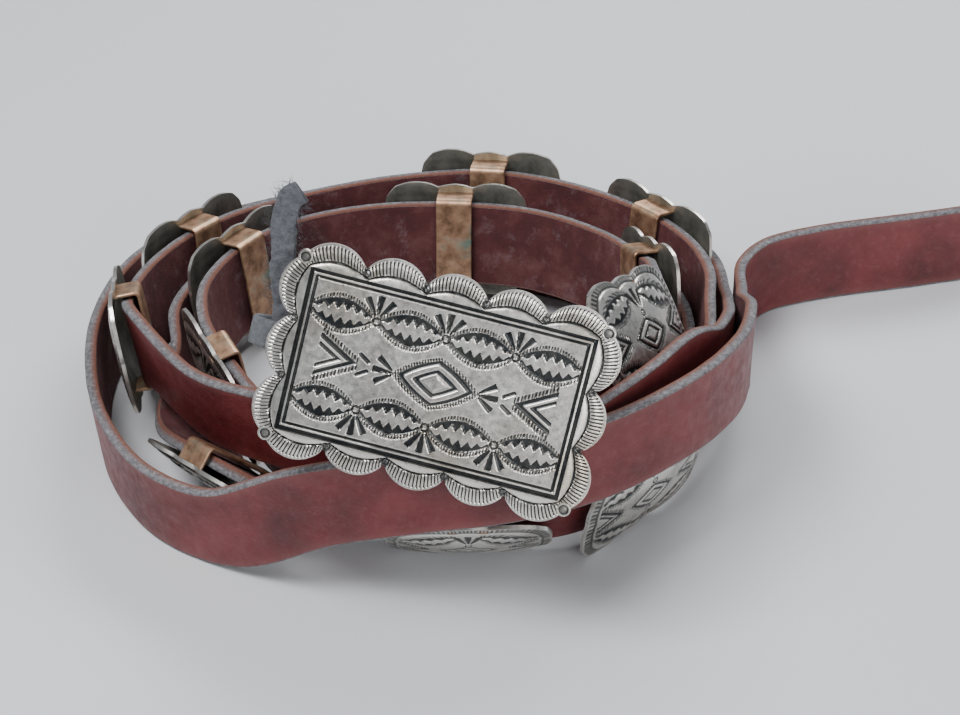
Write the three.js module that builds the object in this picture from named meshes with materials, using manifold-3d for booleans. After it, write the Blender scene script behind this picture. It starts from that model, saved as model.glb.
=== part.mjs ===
// A concho belt coiled on a table: one long leather strap, twelve domed stamped conchos
// that ride on it by soldered loops, a scalloped stamped buckle and a suede thong.
// Millimetres, +Z up. The strap stands on its edge and winds outward from the buckle.
import * as THREE from 'three'
import { mergeVertices } from 'three/addons/utils/BufferGeometryUtils.js'
import Module from 'manifold-3d'

const wasm = await Module()
wasm.setup()

// Strap
const strapWidth = 25
const strapThickness = 3.4
const strapEdgeChamfer = 0.5
const strapStep = 10
const strapTipLength = 12

// Coil: reach in the table below is a share of this radius
const coilRadius = 88

// Conchos
const conchoLength = 43
const conchoHeight = 35
const conchoThickness = 1.1
const conchoDome = 3
const conchoSeat = 1

// Loops of sheet that the strap runs through
const loopWidth = 10.5
const loopThickness = 0.9
const loopEdgeGap = 1.1
const loopBackGap = 1.1
const loopCorner = 0.6

// Buckle
const buckleFrameLength = 72.5
const buckleFrameHeight = 42
const buckleBorder = 2.2
const buckleThickness = 1.5
const scallopsAlong = 5
const scallopsAcross = 3
const scallopRise = 4.7
const scallopFacets = 6
const knobRadius = 1.7
const reliefHeight = 0.5
const ridgeWidth = 1.1
const petalRise = 1.9
const buckleBarOffset = 0
const buckleRoll = 5.5
const hookPlace = 26
const hookWidth = 6
const hookThickness = 1.4
const hookReach = 7

// Stamped figures on the buckle's panel
const lensLength = 18.2
const lensHeight = 7.2
const lensTeeth = 5
const lensRowPlace = 11.9
const diamondLength = 15
const diamondHeight = 9.5
const diamondWall = 1.3
const chevronLength = 9
const chevronHeight = 8.5
const chevronWall = 1.5
const chevronPlace = 26

// Thong
const thongWidth = 7.4
const thongThickness = 1.8
const laceThickness = 2.2
const thongGap = 0.5

// The strap's centre line. turn is degrees round the coil from the front, reach a share
// of coilRadius, lift a share of strapWidth, lean the strap's tilt with its top outward.
const course = [
  { turn: -13, reach: 0.808, lift: 2.86, lean: -22 },
  { turn: 5, reach: 0.829, lift: 2.73, lean: -22 },
  { turn: 15, reach: 0.869, lift: 2.7, lean: -17 },
  { turn: 24, reach: 0.872, lift: 2.71, lean: -12 },
  { turn: 30, reach: 0.842, lift: 2.66, lean: -12 },
  { turn: 43, reach: 0.75, lift: 2.31, lean: -25 },
  { turn: 61, reach: 0.737, lift: 2.1, lean: -34 },
  { turn: 82, reach: 0.775, lift: 1.76, lean: -20 },
  { turn: 99, reach: 0.76, lift: 1.44, lean: -5 },
  { turn: 116, reach: 0.785, lift: 1.06, lean: 6 },
  { turn: 134, reach: 0.81, lift: 0.92, lean: 9 },
  { turn: 153, reach: 0.803, lift: 0.88, lean: 10 },
  { turn: 172, reach: 0.777, lift: 0.86, lean: 10 },
  { turn: 192, reach: 0.772, lift: 0.86, lean: 10 },
  { turn: 211, reach: 0.779, lift: 0.86, lean: 10 },
  { turn: 227, reach: 0.768, lift: 0.86, lean: 10 },
  { turn: 245, reach: 0.722, lift: 0.88, lean: 12 },
  { turn: 262, reach: 0.655, lift: 0.94, lean: 12 },
  { turn: 281, reach: 0.59, lift: 0.98, lean: 12 },
  { turn: 307, reach: 0.543, lift: 0.76, lean: 8 },
  { turn: 336, reach: 0.51, lift: 0.58, lean: 3 },
  { turn: 368, reach: 0.515, lift: 0.51, lean: 0 },
  { turn: 399, reach: 0.58, lift: 0.51, lean: 0 },
  { turn: 426, reach: 0.682, lift: 0.51, lean: 0 },
  { turn: 445, reach: 0.786, lift: 0.5, lean: 0 },
  { turn: 459, reach: 0.867, lift: 0.5, lean: 0 },
  { turn: 475, reach: 0.924, lift: 0.5, lean: 0 },
  { turn: 492, reach: 0.942, lift: 0.5, lean: 0 },
  { turn: 504, reach: 0.937, lift: 0.5, lean: 0 },
  { turn: 520, reach: 0.918, lift: 0.5, lean: 0 },
  { turn: 536, reach: 0.888, lift: 0.5, lean: 0 },
  { turn: 555, reach: 0.888, lift: 0.5, lean: 0 },
  { turn: 573, reach: 0.905, lift: 0.5, lean: 0 },
  { turn: 591, reach: 0.883, lift: 0.52, lean: 2 },
  { turn: 608, reach: 0.838, lift: 0.53, lean: 5 },
  { turn: 621, reach: 0.725, lift: 0.46, lean: 30 },
  { turn: 632, reach: 0.695, lift: 0.28, lean: 71 },
  { turn: 644, reach: 0.703, lift: 0.3, lean: 60 },
  { turn: 669, reach: 0.715, lift: 0.66, lean: 47 },
  { turn: 696, reach: 0.707, lift: 0.61, lean: 42 },
  { turn: 731, reach: 0.723, lift: 0.62, lean: 45 },
  { turn: 753, reach: 0.797, lift: 0.66, lean: 30 },
  { turn: 772, reach: 0.847, lift: 0.77, lean: 17 },
  { turn: 791, reach: 0.866, lift: 0.87, lean: 10 },
  { turn: 804, reach: 0.892, lift: 1.04, lean: 5 },
  { turn: 818, reach: 0.918, lift: 1.08, lean: 3 },
  { turn: 829, reach: 0.968, lift: 1.0, lean: 5 },
  { turn: 841, reach: 1.009, lift: 0.92, lean: 8 },
  { turn: 853, reach: 1.029, lift: 0.88, lean: 8 },
  { turn: 870, reach: 1.018, lift: 0.88, lean: 9 },
  { turn: 887, reach: 1.001, lift: 0.88, lean: 9 },
  { turn: 905, reach: 0.982, lift: 0.8, lean: 9 },
  { turn: 921, reach: 0.971, lift: 0.76, lean: 9 },
  { turn: 937, reach: 0.982, lift: 0.76, lean: 8 },
  { turn: 952, reach: 0.968, lift: 0.8, lean: 9 },
  { turn: 966, reach: 0.945, lift: 0.84, lean: 11 },
  { turn: 981, reach: 0.903, lift: 0.98, lean: 10 },
  { turn: 993, reach: 0.838, lift: 1.2, lean: 11 },
  { turn: 1014, reach: 0.714, lift: 1.12, lean: 13 },
  { turn: 1036, reach: 0.629, lift: 1.2, lean: 10 },
  { turn: 1066, reach: 0.656, lift: 1.36, lean: 4 },
  { turn: 1089, reach: 0.736, lift: 1.56, lean: 0 },
  { turn: 1097, reach: 0.826, lift: 1.68, lean: 0 },
  { turn: 1105, reach: 0.918, lift: 1.61, lean: 0 },
  { turn: 1119, reach: 0.921, lift: 1.84, lean: 0 },
  { turn: 1130, reach: 0.924, lift: 1.91, lean: -2 },
  { turn: 1141, reach: 0.925, lift: 1.88, lean: -3 },
  { turn: 1151, reach: 0.945, lift: 1.6, lean: -2 },
  { turn: 1165, reach: 0.956, lift: 1.28, lean: 0 },
  { turn: 1179, reach: 0.99, lift: 0.88, lean: 0 },
  { turn: 1191, reach: 1.058, lift: 0.56, lean: 0 },
  { turn: 1203, reach: 1.15, lift: 0.5, lean: 0 },
  { turn: 1216, reach: 1.181, lift: 0.5, lean: 0 },
  { turn: 1231, reach: 1.17, lift: 0.5, lean: 0 },
  { turn: 1248, reach: 1.137, lift: 0.5, lean: 0 },
  { turn: 1267, reach: 1.116, lift: 0.5, lean: 0 },
  { turn: 1286, reach: 1.108, lift: 0.5, lean: 0 },
  { turn: 1303, reach: 1.126, lift: 0.51, lean: 4 },
  { turn: 1317, reach: 1.119, lift: 0.51, lean: 6 },
  { turn: 1333, reach: 1.066, lift: 0.51, lean: 6 },
  { turn: 1349, reach: 1.017, lift: 0.51, lean: 6 },
  { turn: 1367, reach: 0.988, lift: 0.51, lean: 7 },
  { turn: 1385, reach: 0.962, lift: 0.51, lean: 9 },
  { turn: 1401, reach: 0.905, lift: 0.57, lean: 8 },
  { turn: 1421, reach: 0.876, lift: 1.18, lean: 6 },
  { turn: 1441, reach: 0.901, lift: 1.55, lean: 3 },
  { turn: 1456, reach: 0.937, lift: 1.67, lean: 2 },
  { turn: 1473, reach: 0.993, lift: 1.8, lean: 2 },
  { turn: 1491, reach: 1.031, lift: 1.88, lean: 2 },
  { turn: 1508, reach: 1.03, lift: 1.72, lean: 2 },
  { turn: 1524, reach: 1.022, lift: 1.44, lean: 2 },
  { turn: 1539, reach: 1.035, lift: 0.96, lean: 0 },
  { turn: 1551, reach: 1.117, lift: 0.56, lean: 0 },
  { turn: 1559, reach: 1.211, lift: 0.5, lean: 0 },
  { turn: 1562, reach: 1.356, lift: 0.5, lean: 0 },
  { turn: 1561, reach: 1.559, lift: 0.5, lean: 0 },
  { turn: 1558, reach: 1.883, lift: 0.5, lean: 0 },
  { turn: 1556, reach: 2.206, lift: 0.5, lean: 0 },
]

// Where each concho rides: degrees round the coil, as in the table above
const conchoTurns = [61, 116, 172, 227, 281, 669, 732.5, 771, 853, 887, 948, 980.5]

// A concho's outline, one quarter, as shares of its half length and half height
const conchoQuarter = [
  { along: 1, up: 0 },
  { along: 0.995, up: 0.45 },
  { along: 0.95, up: 0.73 },
  { along: 0.83, up: 0.91 },
  { along: 0.62, up: 0.995 },
  { along: 0.4, up: 0.99 },
  { along: 0.24, up: 0.92 },
  { along: 0.12, up: 0.96 },
  { along: 0, up: 0.98 },
]

const radians = THREE.MathUtils.degToRad
const upward = new THREE.Vector3(0, 0, 1)

// One station of the table as a point, its fourth number the lean
function station({ turn, reach, lift, lean }) {
  const angle = radians(turn - 90)
  const distance = reach * coilRadius
  return [distance * Math.cos(angle), distance * Math.sin(angle), lift * strapWidth, lean]
}

function blend(a, b, ta, tb, t) {
  return a.map((value, i) => ((tb - t) * value + (t - ta) * b[i]) / (tb - ta))
}

// Centripetal Catmull-Rom through the stations, then even steps along its length
function strapCourse() {
  const knots = course.map(station)
  const mirrored = (a, b) => a.map((value, i) => 2 * value - b[i])
  const last = knots.length - 1
  const all = [mirrored(knots[0], knots[1]), ...knots, mirrored(knots[last], knots[last - 1])]
  const between = 16
  const fine = []
  const marks = []
  for (let i = 1; i < all.length - 2; i++) {
    const [p0, p1, p2, p3] = all.slice(i - 1, i + 3)
    const gap = (a, b) => Math.sqrt(Math.hypot(b[0] - a[0], b[1] - a[1], b[2] - a[2]))
    const t1 = gap(p0, p1)
    const t2 = t1 + gap(p1, p2)
    const t3 = t2 + gap(p2, p3)
    marks.push(fine.length)
    for (let k = 0; k < between; k++) {
      const t = t1 + ((t2 - t1) * k) / between
      const a1 = blend(p0, p1, 0, t1, t)
      const a2 = blend(p1, p2, t1, t2, t)
      const a3 = blend(p2, p3, t2, t3, t)
      const b1 = blend(a1, a2, 0, t2, t)
      const b2 = blend(a2, a3, t1, t3, t)
      fine.push(blend(b1, b2, t1, t2, t))
    }
  }
  marks.push(fine.length)
  fine.push(all[all.length - 2])
  const run = [0]
  for (let i = 1; i < fine.length; i++) {
    const [a, b] = [fine[i - 1], fine[i]]
    run.push(run[i - 1] + Math.hypot(b[0] - a[0], b[1] - a[1], b[2] - a[2]))
  }
  return { fine, run, marks }
}

const { fine, run, marks } = strapCourse()
const strapLength = run[run.length - 1]

// The centre line's point and lean at a distance along the strap
function pointAt(distance) {
  const s = Math.min(Math.max(distance, 0), strapLength)
  let i = 1
  while (i < run.length - 1 && run[i] < s) i++
  return blend(fine[i - 1], fine[i], run[i - 1], run[i], s)
}

// Centre, run, rise and outward directions of the strap at a distance along it
function frameAt(distance) {
  const reachBothWays = 2.5
  const here = pointAt(distance)
  const before = new THREE.Vector3(...pointAt(distance - reachBothWays).slice(0, 3))
  const after = new THREE.Vector3(...pointAt(distance + reachBothWays).slice(0, 3))
  const along = after.sub(before).normalize()
  const level = along.clone().cross(upward).normalize()
  const rise = level.clone().cross(along)
  const lean = radians(here[3])
  const up = rise.clone().multiplyScalar(Math.cos(lean)).addScaledVector(level, Math.sin(lean))
  const out = level.multiplyScalar(Math.cos(lean)).addScaledVector(rise, -Math.sin(lean))
  return { centre: new THREE.Vector3(...here.slice(0, 3)), along, up, out }
}

// Distance along the strap at a turn of the table, counted between its stations
function distanceAtTurn(turn) {
  for (let i = 1; i < course.length; i++) {
    if (course[i].turn >= turn) {
      const share = (turn - course[i - 1].turn) / (course[i].turn - course[i - 1].turn)
      return run[marks[i - 1]] + share * (run[marks[i]] - run[marks[i - 1]])
    }
  }
  return strapLength
}

// A closed mesh from rings of points, with flat ends fanned from each end's first point
function ringsToGeometry(rings) {
  const count = rings[0].length
  const positions = rings.flat().flatMap((p) => [p.x, p.y, p.z])
  const index = []
  for (let i = 0; i + 1 < rings.length; i++) {
    for (let k = 0; k < count; k++) {
      const next = (k + 1) % count
      const [a, b] = [i * count + k, i * count + next]
      index.push(a, b, b + count, a, b + count, a + count)
    }
  }
  const end = (rings.length - 1) * count
  for (let k = 1; k + 1 < count; k++) {
    index.push(0, k + 1, k)
    index.push(end, end + k, end + k + 1)
  }
  const geometry = new THREE.BufferGeometry()
  geometry.setAttribute('position', new THREE.Float32BufferAttribute(positions, 3))
  geometry.setIndex(index)
  return geometry
}

// A rectangle with chamfered corners, walked anticlockwise seen against the run
function stripSection(width, thickness, chamfer) {
  const [w, t] = [width / 2, thickness / 2]
  return [
    [-w + chamfer, t],
    [-w, t - chamfer],
    [-w, -t + chamfer],
    [-w + chamfer, -t],
    [w - chamfer, -t],
    [w, -t + chamfer],
    [w, t - chamfer],
    [w - chamfer, t],
  ]
}

function sectionRing(frame, section) {
  return section.map(([up, out]) =>
    frame.centre.clone().addScaledVector(frame.up, up).addScaledVector(frame.out, out))
}

// The strap narrows to a rounded tip over its last stretch
function strapGeometry() {
  const steps = Math.round((strapLength - strapTipLength) / strapStep)
  const rings = []
  for (let i = 0; i <= steps; i++) {
    const distance = ((strapLength - strapTipLength) * i) / steps
    const section = stripSection(strapWidth, strapThickness, strapEdgeChamfer)
    rings.push(sectionRing(frameAt(distance), section))
  }
  const tipSteps = 4
  for (let i = 1; i <= tipSteps; i++) {
    const share = i / tipSteps
    const swing = (share * Math.PI) / 2 * 0.9
    const distance = strapLength - strapTipLength + strapTipLength * Math.sin(swing)
    const section = stripSection(strapWidth * Math.cos(swing), strapThickness, strapEdgeChamfer)
    rings.push(sectionRing(frameAt(distance), section))
  }
  return ringsToGeometry(rings)
}

// Manifold solids, for joining pieces that are soldered or stamped from one sheet
function solidOf(geometry) {
  const bare = geometry.clone()
  bare.deleteAttribute('normal')
  bare.deleteAttribute('uv')
  const merged = mergeVertices(bare, 1e-4)
  return new wasm.Manifold(new wasm.Mesh({
    numProp: 3,
    vertProperties: Float32Array.from(merged.attributes.position.array),
    triVerts: Uint32Array.from(merged.index.array),
  }))
}

function geometryOf(solid) {
  const mesh = solid.getMesh()
  const geometry = new THREE.BufferGeometry()
  geometry.setAttribute('position', new THREE.BufferAttribute(mesh.vertProperties, 3))
  geometry.setIndex(new THREE.BufferAttribute(mesh.triVerts, 1))
  return geometry
}

function joined(geometries) {
  return geometryOf(geometries.map(solidOf).reduce((sum, solid) => sum.add(solid)))
}

// A flat shape raised from one height to another along z
function raised(points, from, to, holes = []) {
  const shape = new THREE.Shape(points.map(([x, y]) => new THREE.Vector2(x, y)))
  for (const hole of holes) {
    shape.holes.push(new THREE.Path(hole.map(([x, y]) => new THREE.Vector2(x, y))))
  }
  const geometry = new THREE.ExtrudeGeometry(shape, { depth: to - from, bevelEnabled: false })
  return geometry.translate(0, 0, from)
}

// Local frame of a concho or the buckle: x along the strap, y up its face, z outward.
// Outer face of the strap, and where a plate's rim sits in front of it
const strapFace = strapThickness / 2
const rimSeat = strapFace + conchoSeat

// A strip bent round the strap's back, its two ends sunk in the plate in front
function loopGeometry(plateBack) {
  const inner = strapWidth / 2 + loopEdgeGap
  const back = -strapFace - loopBackGap
  const outer = inner + loopThickness
  const behind = back - loopThickness
  const profile = [
    [plateBack, inner],
    [back + loopCorner, inner],
    [back, inner - loopCorner],
    [back, -inner + loopCorner],
    [back + loopCorner, -inner],
    [plateBack, -inner],
    [plateBack, -outer],
    [behind + loopCorner, -outer],
    [behind, -outer + loopCorner],
    [behind, outer - loopCorner],
    [behind + loopCorner, outer],
    [plateBack, outer],
  ]
  const strip = raised(profile.slice().reverse(), -loopWidth / 2, loopWidth / 2)
  // x of the profile is outward and y is up, so the strip's depth runs along the strap
  const turned = new THREE.Matrix4().makeBasis(
    new THREE.Vector3(0, 0, 1), new THREE.Vector3(0, -1, 0), new THREE.Vector3(1, 0, 0))
  return strip.applyMatrix4(turned)
}

function conchoOutline() {
  const quarter = conchoQuarter.map(({ along, up }) =>
    [along * conchoLength / 2, up * conchoHeight / 2])
  const left = quarter.slice(0, -1).reverse().map(([x, y]) => [-x, y])
  const top = [...quarter, ...left]
  const bottom = top.slice(1, -1).reverse().map(([x, y]) => [x, -y])
  return [...top, ...bottom]
}

// The domed plate: a rim ring, a middle ring and a crown point on each side
function conchoPlate() {
  const outline = conchoOutline()
  const count = outline.length
  const rings = [1, 0.55]
  const points = []
  for (const side of [0, -conchoThickness]) {
    for (const share of rings) {
      const height = rimSeat + conchoThickness + conchoDome * (1 - share * share) + side
      for (const [x, y] of outline) points.push([x * share, y * share, height])
    }
    points.push([0, 0, rimSeat + conchoThickness + conchoDome + side])
  }
  const sideCount = rings.length * count + 1
  const index = []
  for (let k = 0; k < count; k++) {
    const next = (k + 1) % count
    const front = [k, next, count + next, count + k, 2 * count]
    const back = front.map((i) => i + sideCount)
    index.push(front[0], front[1], front[2], front[0], front[2], front[3])
    index.push(front[3], front[2], front[4])
    index.push(back[0], back[2], back[1], back[0], back[3], back[2])
    index.push(back[3], back[4], back[2])
    index.push(front[0], back[1], front[1], front[0], back[0], back[1])
  }
  const geometry = new THREE.BufferGeometry()
  geometry.setAttribute('position', new THREE.Float32BufferAttribute(points.flat(), 3))
  geometry.setIndex(index)
  return geometry
}

function conchoGeometry() {
  const legShare = (strapWidth / 2 + loopEdgeGap) / (conchoHeight / 2)
  const plateBack = rimSeat + conchoDome * (1 - legShare * legShare) + conchoThickness / 2
  return joined([conchoPlate(), loopGeometry(plateBack)])
}

// Points of an arc that bulges off a straight chord, without its end point
function bulge(start, end, rise, facets) {
  const chord = Math.hypot(end[0] - start[0], end[1] - start[1])
  const radius = (chord * chord / 4 + rise * rise) / (2 * rise)
  const half = Math.asin(Math.min(1, chord / 2 / radius))
  const along = [(end[0] - start[0]) / chord, (end[1] - start[1]) / chord]
  const side = [along[1], -along[0]]
  const points = []
  for (let i = 0; i < facets; i++) {
    const angle = -half + (2 * half * i) / facets
    const x = chord / 2 + radius * Math.sin(angle)
    const y = radius * Math.cos(angle) - radius + rise
    points.push([
      start[0] + along[0] * x + side[0] * y,
      start[1] + along[1] * x + side[1] * y,
    ])
  }
  return points
}

// The corners between scallops, anticlockwise from the lower left, on a straight border
function borderCorners(extra) {
  const [x, y] = [buckleFrameLength / 2 + extra, buckleFrameHeight / 2 + extra]
  const sides = [
    { from: [-x, -y], to: [x, -y], parts: scallopsAlong },
    { from: [x, -y], to: [x, y], parts: scallopsAcross },
    { from: [x, y], to: [-x, y], parts: scallopsAlong },
    { from: [-x, y], to: [-x, -y], parts: scallopsAcross },
  ]
  return sides.flatMap(({ from, to, parts }) => Array.from({ length: parts }, (_, i) => [
    from[0] + ((to[0] - from[0]) * i) / parts,
    from[1] + ((to[1] - from[1]) * i) / parts,
  ]))
}

function buckleOutline() {
  const corners = borderCorners(buckleBorder)
  return corners.flatMap((corner, i) =>
    bulge(corner, corners[(i + 1) % corners.length], scallopRise, scallopFacets))
}

function rectangle(halfX, halfY) {
  return [[-halfX, -halfY], [halfX, -halfY], [halfX, halfY], [-halfX, halfY]]
}

// A lens of two arcs whose edges step in and out as teeth
function lensOutline(centreX, centreY, from, to) {
  const arc = (share) => (lensHeight / 2) * (1 - share * share)
  const upper = []
  const steps = lensTeeth * 2
  for (let i = 0; i <= steps; i++) {
    const share = from + ((to - from) * i) / steps
    const tooth = i % 2 ? 0.75 : 0.35
    upper.push([centreX + (share * lensLength) / 2, arc(share) * tooth])
  }
  const lower = upper.slice().reverse().map(([x, y]) => [x, -y])
  const clean = [...upper, ...lower].filter(([, y], i, all) =>
    Math.hypot(all[i][0] - all[(i + 1) % all.length][0], y - all[(i + 1) % all.length][1]) > 0.05)
  return clean.reverse().map(([x, y]) => [x, y + centreY])
}

// The raised figures: ridge, petals, lenses, diamond and chevrons
function buckleRelief() {
  const base = buckleThickness - 0.3
  const top = buckleThickness + reliefHeight
  const [halfX, halfY] = [buckleFrameLength / 2, buckleFrameHeight / 2]
  const figures = []
  figures.push(raised(rectangle(halfX, halfY), base, top,
    [rectangle(halfX - ridgeWidth, halfY - ridgeWidth).reverse()]))
  const corners = borderCorners(ridgeWidth / 2)
  corners.forEach((corner, i) => {
    const next = corners[(i + 1) % corners.length]
    const between = (share) => corner.map((value, axis) => value + (next[axis] - value) * share)
    const [start, end] = [between(0.06), between(0.94)]
    figures.push(raised([...bulge(start, end, petalRise, 5), end], base, top))
  })
  for (const side of [-1, 1]) {
    for (let k = 0; k < 4; k++) {
      const centreX = (k - 1.5) * lensLength
      const cut = (halfX - ridgeWidth - 0.6 - Math.abs(centreX)) / (lensLength / 2)
      const [from, to] = [k === 0 ? -cut : -0.92, k === 3 ? cut : 0.92]
      figures.push(raised(lensOutline(centreX, side * lensRowPlace, Math.max(from, -0.92),
        Math.min(to, 0.92)), base, top))
    }
    const [tip, open] = [chevronPlace - chevronLength / 2, chevronPlace + chevronLength / 2]
    const v = [
      [tip, 0],
      [open, -chevronHeight / 2],
      [open, -chevronHeight / 2 + chevronWall],
      [tip + chevronWall * 2, 0],
      [open, chevronHeight / 2 - chevronWall],
      [open, chevronHeight / 2],
    ].map(([x, y]) => [x * side, y])
    figures.push(raised(side > 0 ? v : v.reverse(), base, top))
  }
  const diamond = (shrink) => [
    [diamondLength / 2 - shrink * 1.6, 0],
    [0, diamondHeight / 2 - shrink],
    [-diamondLength / 2 + shrink * 1.6, 0],
    [0, -diamondHeight / 2 + shrink],
  ]
  figures.push(raised(diamond(0), base, top, [diamond(diamondWall).reverse()]))
  figures.push(raised(diamond(diamondWall * 2), base, top))
  return figures
}

// The buckle's back: a strap bar like a concho's loop, and a small hook to fasten it
function buckleBack() {
  const bar = loopGeometry(rimSeat + buckleThickness / 2).translate(buckleBarOffset, 0, -rimSeat)
  const profile = [
    [0, buckleThickness / 2],
    [0, -hookReach],
    [hookWidth * 1.4, -hookReach],
    [hookWidth * 1.4, -hookReach + hookThickness],
    [hookThickness, -hookReach + hookThickness],
    [hookThickness, buckleThickness / 2],
  ]
  const hook = raised(profile, -hookWidth / 2, hookWidth / 2)
  hook.rotateX(Math.PI / 2).translate(-hookPlace, 0, 0)
  return [bar, hook]
}

function buckleGeometry() {
  const plate = raised(buckleOutline(), 0, buckleThickness)
  const knobs = [[-1, -1], [1, -1], [1, 1], [-1, 1]].map(([sx, sy]) => {
    const knob = new THREE.CylinderGeometry(knobRadius, knobRadius, buckleThickness, 10)
    return knob.rotateX(Math.PI / 2).translate(
      sx * (buckleFrameLength / 2 + buckleBorder + 0.4),
      sy * (buckleFrameHeight / 2 + buckleBorder + 0.4), buckleThickness / 2)
  })
  return joined([plate, ...knobs, ...buckleRelief(), ...buckleBack()])
}

// The thong's wrap, a U of leather behind the buckle's left end, in the buckle's frame.
// along is a share of the frame's half length, behind a distance in thong thicknesses
const wrapCourse = [
  { along: -0.9, behind: 1 },
  { along: -1.08, behind: 1 },
  { along: -1.22, behind: 1.2 },
  { along: -1.3, behind: 2 },
  { along: -1.3, behind: 3 },
  { along: -1.22, behind: 3.8 },
  { along: -1.08, behind: 4.1 },
  { along: -0.86, behind: 4.1 },
]

// The lace's free end that stands up from the wrap and curls over at its tip
const laceCourse = [
  { along: -1.1, up: -0.2, behind: 2.5 },
  { along: -1.1, up: 0.05, behind: 2.6 },
  { along: -1.13, up: 0.4, behind: 2.8 },
  { along: -1.2, up: 0.8, behind: 3 },
  { along: -1.24, up: 1.15, behind: 3 },
  { along: -1.27, up: 1.45, behind: 2.6 },
  { along: -1.25, up: 1.68, behind: 2 },
  { along: -1.19, up: 1.78, behind: 1.6 },
]

// A strip swept through points in the buckle's frame, its width along a given direction
function stripAlong(points, width, thickness, across, steps) {
  const curve = new THREE.CatmullRomCurve3(points)
  const rings = []
  for (let i = 0; i <= steps; i++) {
    const centre = curve.getPointAt(i / steps)
    const along = curve.getTangentAt(i / steps)
    const out = along.clone().cross(across).normalize()
    const up = out.clone().cross(along).normalize()
    rings.push(sectionRing({ centre, up, out }, stripSection(width, thickness, thickness / 4)))
  }
  return ringsToGeometry(rings)
}

const halfFrame = buckleFrameLength / 2
const behindPlate = (layers) => -(thongGap + thongThickness * (layers - 0.5))

function wrapGeometry() {
  const points = wrapCourse.map(({ along, behind }) =>
    new THREE.Vector3(along * halfFrame, 1, behindPlate(behind)))
  return stripAlong(points, thongWidth, thongThickness, new THREE.Vector3(0, 1, 0), 16)
}

function laceGeometry() {
  const points = laceCourse.map(({ along, up, behind }) =>
    new THREE.Vector3(along * halfFrame, up * buckleFrameHeight / 2, behindPlate(behind)))
  return stripAlong(points, thongWidth, laceThickness, new THREE.Vector3(1, 0, 0), 14)
}

const leather = new THREE.MeshStandardMaterial({ color: 0x5d1c1c, roughness: 0.6, metalness: 0 })
const silver = new THREE.MeshStandardMaterial({ color: 0xc4bfb4, roughness: 0.35, metalness: 1 })
const suede = new THREE.MeshStandardMaterial({ color: 0x3a3b40, roughness: 0.95, metalness: 0 })

const group = new THREE.Group()

function addPiece(name, geometry, material, parent = group) {
  const mesh = new THREE.Mesh(geometry, material)
  mesh.name = name
  parent.add(mesh)
  return mesh
}

// Puts an object in the strap's frame at a distance along it, seated outward by seat
function placeOnStrap(object, distance, seat) {
  const { centre, along, up, out } = frameAt(distance)
  const basis = new THREE.Matrix4().makeBasis(along, up, out)
  object.quaternion.setFromRotationMatrix(basis)
  object.position.copy(centre).addScaledVector(out, seat)
}

addPiece('strap', strapGeometry(), leather)

conchoTurns.forEach((turn, i) => {
  const name = 'concho_' + String(i + 1).padStart(2, '0')
  const concho = addPiece(name, conchoGeometry(), silver)
  placeOnStrap(concho, distanceAtTurn(turn), 0)
})

// The buckle carries the thong, so they share one group on the strap's first stretch
const buckleGroup = new THREE.Group()
group.add(buckleGroup)
addPiece('buckle', buckleGeometry(), silver, buckleGroup)
addPiece('thong_wrap', wrapGeometry(), suede, buckleGroup)
addPiece('thong_end', laceGeometry(), suede, buckleGroup)
const buckleDistance = distanceAtTurn(5) - buckleBarOffset
placeOnStrap(buckleGroup, buckleDistance, rimSeat)
buckleGroup.rotateZ(radians(-buckleRoll))

// The origin is under the middle of the whole coil, on the surface that it rests on
group.updateMatrixWorld(true)
const whole = new THREE.Box3().setFromObject(group, true)
const middle = whole.getCenter(new THREE.Vector3())
group.position.set(-middle.x, -middle.y, -whole.min.z)

export default group
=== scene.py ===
# The concho belt's look: dense stamped silver, copper loops, worn leather and suede.
# All pieces follow the CAD solids. Sizes are in millimetres and turned to metres last.
import bmesh
import bpy
import math
import numpy as np
from mathutils import Matrix, Vector


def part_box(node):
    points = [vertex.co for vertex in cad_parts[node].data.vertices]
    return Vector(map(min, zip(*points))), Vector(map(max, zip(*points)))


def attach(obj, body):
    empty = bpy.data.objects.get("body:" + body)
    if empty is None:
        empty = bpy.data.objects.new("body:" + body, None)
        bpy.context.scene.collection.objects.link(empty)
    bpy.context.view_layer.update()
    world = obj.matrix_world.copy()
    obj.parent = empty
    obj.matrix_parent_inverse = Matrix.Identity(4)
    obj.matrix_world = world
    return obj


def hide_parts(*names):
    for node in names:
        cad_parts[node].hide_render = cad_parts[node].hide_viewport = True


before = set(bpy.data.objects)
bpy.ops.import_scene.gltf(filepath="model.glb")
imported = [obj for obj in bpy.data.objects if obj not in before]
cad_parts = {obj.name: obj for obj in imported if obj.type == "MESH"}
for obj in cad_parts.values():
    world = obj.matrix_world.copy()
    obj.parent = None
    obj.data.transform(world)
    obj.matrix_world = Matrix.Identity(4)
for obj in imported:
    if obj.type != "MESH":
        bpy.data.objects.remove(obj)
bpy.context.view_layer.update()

STRAP_WIDTH, STRAP_THICK = 25.0, 3.4
COIL_RADIUS = 88.0
CONCHO_LENGTH, CONCHO_HEIGHT = 43.0, 35.0
CONCHO_THICK, CONCHO_DOME, SEAT = 1.1, 3.0, 1.0
LOOP_WIDTH, LOOP_THICK, LOOP_EDGE_GAP, LOOP_BACK_GAP = 10.5, 0.9, 1.1, 1.1
LOOP_BEND, LOOP_CHAMFER = 1.3, 0.2
FRAME_LENGTH, FRAME_HEIGHT, BORDER = 72.5, 42.0, 2.2
BUCKLE_THICK, SCALLOP_RISE = 1.5, 4.7
SCALLOPS_ALONG, SCALLOPS_ACROSS = 5, 3
BUCKLE_ROLL = 5.5
BUCKLE_TURN = 5
BUCKLE_SEAT = STRAP_THICK / 2 + SEAT
HOOK_PLACE, HOOK_WIDTH = 26.0, 6.0
KNOB_INSET = 0.3
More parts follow.
